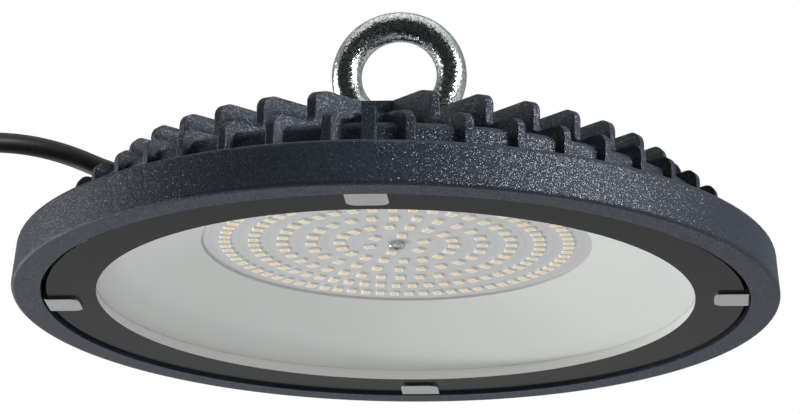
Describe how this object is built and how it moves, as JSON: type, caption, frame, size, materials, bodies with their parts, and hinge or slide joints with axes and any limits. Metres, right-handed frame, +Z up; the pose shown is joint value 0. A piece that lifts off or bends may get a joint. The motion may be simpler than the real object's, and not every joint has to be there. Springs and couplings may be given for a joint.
{
  "type": "high bay light",
  "caption": "Round hanging lamp: cast heat sink with stepped mirrored fins, eye bolt, clipped glass disc, white reflector and rings of small LEDs.",
  "frame": {"origin": "centre of the eye bolt's hole, where the lamp hangs", "axes": "+Z up along the lamp's axis; +Y through the eye's hole, away from the viewer; +X right"},
  "size_m": [0.3354, 0.25, 0.1379],
  "materials": {
    "powder_coat": "fine texture",
    "zinc_steel": "bright",
    "clear_glass": "clear",
    "black_rubber": "satin",
    "clip_steel": "satin",
    "white_paint": "satin",
    "board_white": "satin",
    "black_plastic": "matte",
    "core_brown": "satin",
    "core_blue": "satin",
    "core_green": "satin",
    "copper": "bright",
    "led_white": "satin"
  },
  "bodies": {
    "root": {"housing": "powder_coat", "eye_bolt": "zinc_steel", "spring_washer": "zinc_steel", "glass_lens": "clear_glass", "glass_seal": "black_rubber", "clip_right": "clip_steel", "clip_back": "clip_steel", "clip_left": "clip_steel", "clip_front": "clip_steel", "reflector": "white_paint", "led_board": "board_white", "board_screw": "zinc_steel", "driver_module": "black_plastic", "gland_body": "black_plastic", "gland_seal": "black_rubber", "gland_nut": "black_plastic", "cable": "black_rubber", "core_live": "core_brown", "core_neutral": "core_blue", "core_earth": "core_green", "core_tips": "copper", "led_ring_1": "led_white", "led_ring_2": "led_white", "led_ring_3": "led_white", "led_ring_4": "led_white", "led_ring_5": "led_white", "led_ring_6": "led_white"}
  },
  "joints": []
}
